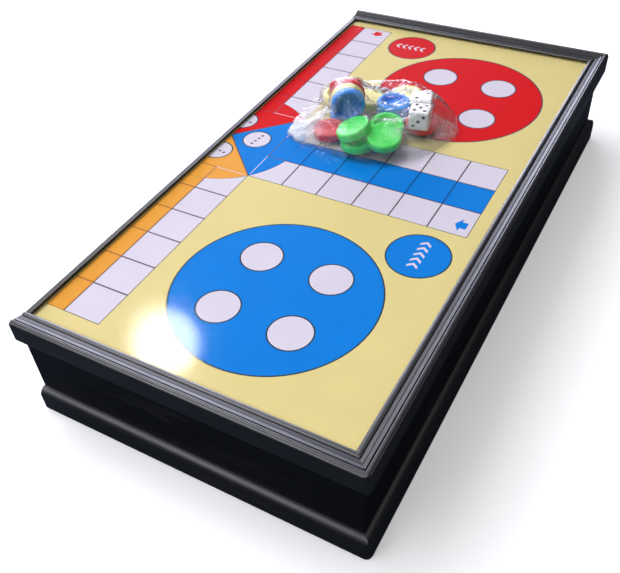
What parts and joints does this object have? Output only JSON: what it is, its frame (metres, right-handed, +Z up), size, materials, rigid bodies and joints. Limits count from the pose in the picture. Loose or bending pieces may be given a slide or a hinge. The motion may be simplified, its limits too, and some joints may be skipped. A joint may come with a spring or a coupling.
{
  "type": "folding board game box",
  "caption": "Shallow hinged box of two framed trays, with half of a ludo board under glass on each outer face, and its counters and dice in a clear bag on top.",
  "frame": {"origin": "Middle of the closed box's footprint, on the surface that its lower moulding lips rest on.", "axes": "+Z up. Y runs along the spine, the box's longest side. X runs from the hinged spine (-X) to the opening side (+X)."},
  "size_m": [0.223, 0.4352, 0.1055],
  "materials": {
    "black_gloss": "high-gloss black lacquer over a wooden moulding",
    "black_wall": "satin black lacquer over wood",
    "panel_board": "thin hardboard panel",
    "printed_paper": "paper printed with a traditional ludo board",
    "clear_glass": "clear float glass",
    "magnet_steel": "nickel-plated magnet",
    "fixing_steel": "plain steel",
    "hinge_brass": "brass-plated",
    "green_plastic": "moulded glossy plastic",
    "blue_plastic": "moulded glossy plastic",
    "yellow_plastic": "moulded glossy plastic",
    "red_plastic": "moulded glossy plastic",
    "die_plastic": "white plastic with black pips",
    "bag_film": "thin clear plastic film"
  },
  "bodies": {
    "upper": {"blue_counter_1": "blue_plastic", "blue_counter_2": "blue_plastic", "blue_counter_3": "blue_plastic", "blue_counter_4": "blue_plastic", "clear_bag": "bag_film", "die_1": "die_plastic", "die_2": "die_plastic", "green_counter_1": "green_plastic", "green_counter_2": "green_plastic", "green_counter_3": "green_plastic", "green_counter_4": "green_plastic", "hinge_pins": "hinge_brass", "red_counter_1": "red_plastic", "red_counter_2": "red_plastic", "red_counter_3": "red_plastic", "red_counter_4": "red_plastic", "upper_back_moulding": "black_gloss", "upper_back_wall": "black_wall", "upper_board_panel": "panel_board", "upper_board_print": "printed_paper", "upper_front_moulding": "black_gloss", "upper_front_wall": "black_wall", "upper_glass": "clear_glass", "upper_hinge_leaves": "hinge_brass", "upper_hinge_screws": "fixing_steel", "upper_magnets": "magnet_steel", "upper_moulding_brads": "fixing_steel", "upper_side_moulding": "black_gloss", "upper_side_wall": "black_wall", "upper_spine_trim": "black_gloss", "upper_spine_wall": "black_wall", "yellow_counter_1": "yellow_plastic", "yellow_counter_2": "yellow_plastic", "yellow_counter_3": "yellow_plastic", "yellow_counter_4": "yellow_plastic"},
    "lower": {"lower_back_moulding": "black_gloss", "lower_back_wall": "black_wall", "lower_board_panel": "panel_board", "lower_board_print": "printed_paper", "lower_front_moulding": "black_gloss", "lower_front_wall": "black_wall", "lower_glass": "clear_glass", "lower_hinge_leaves": "hinge_brass", "lower_hinge_screws": "fixing_steel", "lower_magnets": "magnet_steel", "lower_moulding_brads": "fixing_steel", "lower_side_moulding": "black_gloss", "lower_side_wall": "black_wall", "lower_spine_trim": "black_gloss", "lower_spine_wall": "black_wall"}
  },
  "joints": [
    {"name": "spine_hinge", "type": "hinge", "parent": "upper", "child": "lower", "pos_m": [-0.10923, 0, 0.038], "axis": [0, 1, 0], "range_deg": [0, 180]}
  ]
}
